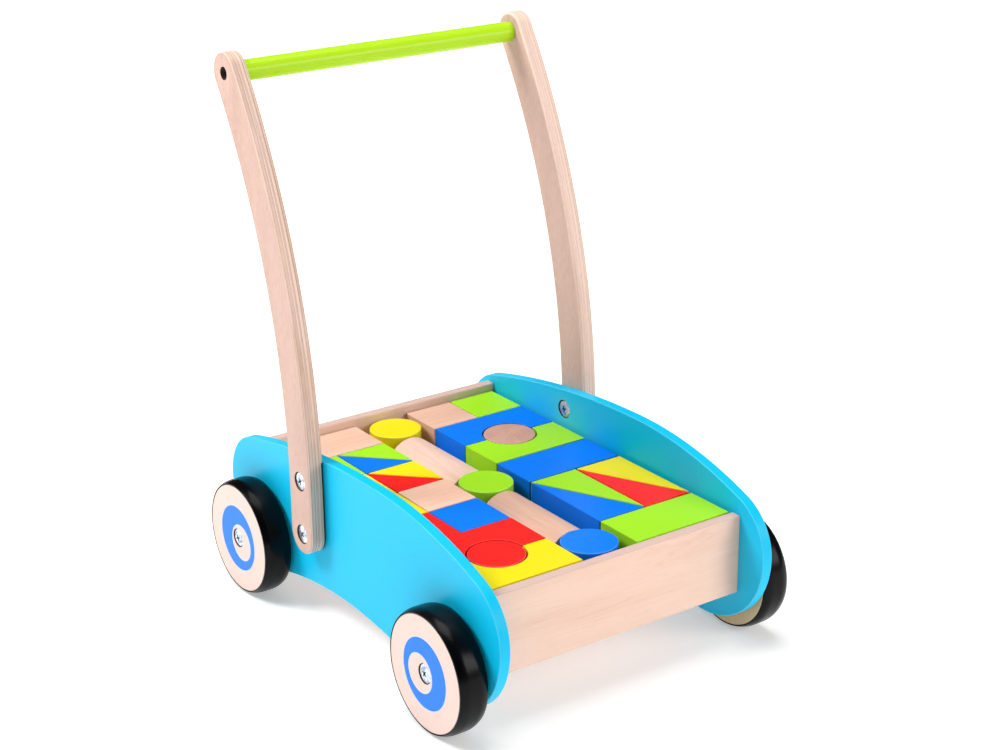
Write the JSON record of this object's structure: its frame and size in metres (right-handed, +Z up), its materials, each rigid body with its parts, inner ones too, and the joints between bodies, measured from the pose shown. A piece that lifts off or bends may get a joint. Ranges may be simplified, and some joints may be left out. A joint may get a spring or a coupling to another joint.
{
  "type": "baby walker",
  "caption": "Wooden push-along baby walker: a low cart on four rubber-tyred wheels with a curved push handle and a tray full of coloured building blocks.",
  "frame": {"origin": "on the ground under the centre of the overall box, midway between the side panels and between the panel tips", "axes": "+X to the right as seen from the front board, +Y from the front board towards the handle, +Z up; the cart rolls forwards along -Y"},
  "size_m": [0.3058, 0.3904, 0.445],
  "materials": {
    "sky_paint": "gloss sky-blue paint on board",
    "green_paint": "gloss lime-green paint on wood",
    "blue_paint": "gloss blue paint on wood",
    "yellow_paint": "gloss yellow paint on wood",
    "red_paint": "gloss red paint on wood",
    "plain_beech": "clear-lacquered beech",
    "birch_ply": "clear-lacquered plywood, plies showing on the edges",
    "wheel_wood": "clear-lacquered wood with a printed blue ring",
    "black_rubber": "smooth glossy rubber",
    "zinc": "bright zinc plate"
  },
  "bodies": {
    "frame": {"left_side_panel": "sky_paint", "right_side_panel": "sky_paint", "front_panel": "birch_ply", "rear_panel": "birch_ply", "tray_floor": "birch_ply", "panel_dowels": "plain_beech", "left_upright": "birch_ply", "right_upright": "birch_ply", "handle_bar": "green_paint", "handle_screws": "zinc", "upright_bolts": "zinc", "upright_nuts": "zinc", "axle_bolts": "zinc", "axle_nuts": "zinc", "axle_washers": "zinc"},
    "front_left_wheel_set": {"front_left_wheel": "wheel_wood", "front_left_tyre": "black_rubber"},
    "front_right_wheel_set": {"front_right_wheel": "wheel_wood", "front_right_tyre": "black_rubber"},
    "rear_left_wheel_set": {"rear_left_wheel": "wheel_wood", "rear_left_tyre": "black_rubber"},
    "rear_right_wheel_set": {"rear_right_wheel": "wheel_wood", "rear_right_tyre": "black_rubber"},
    "green_brick": {"block_green_brick": "green_paint"},
    "green_long_wedge": {"block_green_long_wedge": "green_paint"},
    "blue_long_wedge": {"block_blue_long_wedge": "blue_paint"},
    "yellow_long_wedge": {"block_yellow_long_wedge": "yellow_paint"},
    "red_long_wedge": {"block_red_long_wedge": "red_paint"},
    "blue_brick": {"block_blue_brick": "blue_paint"},
    "green_arch": {"block_green_arch": "green_paint"},
    "plain_pillar": {"block_plain_pillar": "plain_beech"},
    "blue_arch": {"block_blue_arch": "blue_paint"},
    "plain_cube_rear": {"block_plain_cube_rear": "plain_beech"},
    "green_cube_rear": {"block_green_cube_rear": "green_paint"},
    "blue_pillar": {"block_blue_pillar": "blue_paint"},
    "plain_log_front": {"block_plain_log_front": "plain_beech"},
    "green_pillar": {"block_green_pillar": "green_paint"},
    "plain_log_rear": {"block_plain_log_rear": "plain_beech"},
    "yellow_pillar": {"block_yellow_pillar": "yellow_paint"},
    "yellow_arch": {"block_yellow_arch": "yellow_paint"},
    "red_pillar": {"block_red_pillar": "red_paint"},
    "red_arch": {"block_red_arch": "red_paint"},
    "red_cube": {"block_red_cube": "red_paint"},
    "blue_cube": {"block_blue_cube": "blue_paint"},
    "yellow_cube_front": {"block_yellow_cube_front": "yellow_paint"},
    "plain_cube_middle": {"block_plain_cube_middle": "plain_beech"},
    "yellow_cube_rear": {"block_yellow_cube_rear": "yellow_paint"},
    "yellow_wedge": {"block_yellow_wedge": "yellow_paint"},
    "red_wedge": {"block_red_wedge": "red_paint"},
    "green_cube_left": {"block_green_cube_left": "green_paint"},
    "green_wedge": {"block_green_wedge": "green_paint"},
    "blue_wedge": {"block_blue_wedge": "blue_paint"},
    "plain_brick": {"block_plain_brick": "plain_beech"}
  },
  "joints": [
    {"name": "front_left_spin", "type": "hinge", "parent": "frame", "child": "front_left_wheel_set", "pos_m": [-0.13975, -0.139, 0.0479], "axis": [1, 0, 0], "continuous": true},
    {"name": "front_right_spin", "type": "hinge", "parent": "frame", "child": "front_right_wheel_set", "pos_m": [0.13975, -0.139, 0.0479], "axis": [1, 0, 0], "continuous": true},
    {"name": "rear_left_spin", "type": "hinge", "parent": "frame", "child": "rear_left_wheel_set", "pos_m": [-0.13975, 0.139, 0.0479], "axis": [1, 0, 0], "continuous": true},
    {"name": "rear_right_spin", "type": "hinge", "parent": "frame", "child": "rear_right_wheel_set", "pos_m": [0.13975, 0.139, 0.0479], "axis": [1, 0, 0], "continuous": true},
    {"name": "green_brick_lift", "type": "slide", "parent": "frame", "child": "green_brick", "axis": [0, 0, 1], "range_m": [0, 0.06]},
    {"name": "green_long_wedge_lift", "type": "slide", "parent": "frame", "child": "green_long_wedge", "axis": [0, 0, 1], "range_m": [0, 0.06]},
    {"name": "blue_long_wedge_lift", "type": "slide", "parent": "frame", "child": "blue_long_wedge", "axis": [0, 0, 1], "range_m": [0, 0.06]},
    {"name": "yellow_long_wedge_lift", "type": "slide", "parent": "frame", "child": "yellow_long_wedge", "axis": [0, 0, 1], "range_m": [0, 0.06]},
    {"name": "red_long_wedge_lift", "type": "slide", "parent": "frame", "child": "red_long_wedge", "axis": [0, 0, 1], "range_m": [0, 0.06]},
    {"name": "blue_brick_lift", "type": "slide", "parent": "frame", "child": "blue_brick", "axis": [0, 0, 1], "range_m": [0, 0.06]},
    {"name": "green_arch_lift", "type": "slide", "parent": "frame", "child": "green_arch", "axis": [0, 0, 1], "range_m": [0, 0.06]},
    {"name": "plain_pillar_lift", "type": "slide", "parent": "frame", "child": "plain_pillar", "axis": [0, 0, 1], "range_m": [0, 0.06]},
    {"name": "blue_arch_lift", "type": "slide", "parent": "frame", "child": "blue_arch", "axis": [0, 0, 1], "range_m": [0, 0.06]},
    {"name": "plain_cube_rear_lift", "type": "slide", "parent": "frame", "child": "plain_cube_rear", "axis": [0, 0, 1], "range_m": [0, 0.06]},
    {"name": "green_cube_rear_lift", "type": "slide", "parent": "frame", "child": "green_cube_rear", "axis": [0, 0, 1], "range_m": [0, 0.06]},
    {"name": "blue_pillar_lift", "type": "slide", "parent": "frame", "child": "blue_pillar", "axis": [0, 0, 1], "range_m": [0, 0.06]},
    {"name": "plain_log_front_lift", "type": "slide", "parent": "frame", "child": "plain_log_front", "axis": [0, 0, 1], "range_m": [0, 0.06]},
    {"name": "green_pillar_lift", "type": "slide", "parent": "frame", "child": "green_pillar", "axis": [0, 0, 1], "range_m": [0, 0.06]},
    {"name": "plain_log_rear_lift", "type": "slide", "parent": "frame", "child": "plain_log_rear", "axis": [0, 0, 1], "range_m": [0, 0.06]},
    {"name": "yellow_pillar_lift", "type": "slide", "parent": "frame", "child": "yellow_pillar", "axis": [0, 0, 1], "range_m": [0, 0.06]},
    {"name": "yellow_arch_lift", "type": "slide", "parent": "frame", "child": "yellow_arch", "axis": [0, 0, 1], "range_m": [0, 0.06]},
    {"name": "red_pillar_lift", "type": "slide", "parent": "frame", "child": "red_pillar", "axis": [0, 0, 1], "range_m": [0, 0.06]},
    {"name": "red_arch_lift", "type": "slide", "parent": "frame", "child": "red_arch", "axis": [0, 0, 1], "range_m": [0, 0.06]},
    {"name": "red_cube_lift", "type": "slide", "parent": "frame", "child": "red_cube", "axis": [0, 0, 1], "range_m": [0, 0.06]},
    {"name": "blue_cube_lift", "type": "slide", "parent": "frame", "child": "blue_cube", "axis": [0, 0, 1], "range_m": [0, 0.06]},
    {"name": "yellow_cube_front_lift", "type": "slide", "parent": "frame", "child": "yellow_cube_front", "axis": [0, 0, 1], "range_m": [0, 0.06]},
    {"name": "plain_cube_middle_lift", "type": "slide", "parent": "frame", "child": "plain_cube_middle", "axis": [0, 0, 1], "range_m": [0, 0.06]},
    {"name": "yellow_cube_rear_lift", "type": "slide", "parent": "frame", "child": "yellow_cube_rear", "axis": [0, 0, 1], "range_m": [0, 0.06]},
    {"name": "yellow_wedge_lift", "type": "slide", "parent": "frame", "child": "yellow_wedge", "axis": [0, 0, 1], "range_m": [0, 0.06]},
    {"name": "red_wedge_lift", "type": "slide", "parent": "frame", "child": "red_wedge", "axis": [0, 0, 1], "range_m": [0, 0.06]},
    {"name": "green_cube_left_lift", "type": "slide", "parent": "frame", "child": "green_cube_left", "axis": [0, 0, 1], "range_m": [0, 0.06]},
    {"name": "green_wedge_lift", "type": "slide", "parent": "frame", "child": "green_wedge", "axis": [0, 0, 1], "range_m": [0, 0.06]},
    {"name": "blue_wedge_lift", "type": "slide", "parent": "frame", "child": "blue_wedge", "axis": [0, 0, 1], "range_m": [0, 0.06]},
    {"name": "plain_brick_lift", "type": "slide", "parent": "frame", "child": "plain_brick", "axis": [0, 0, 1], "range_m": [0, 0.06]}
  ]
}
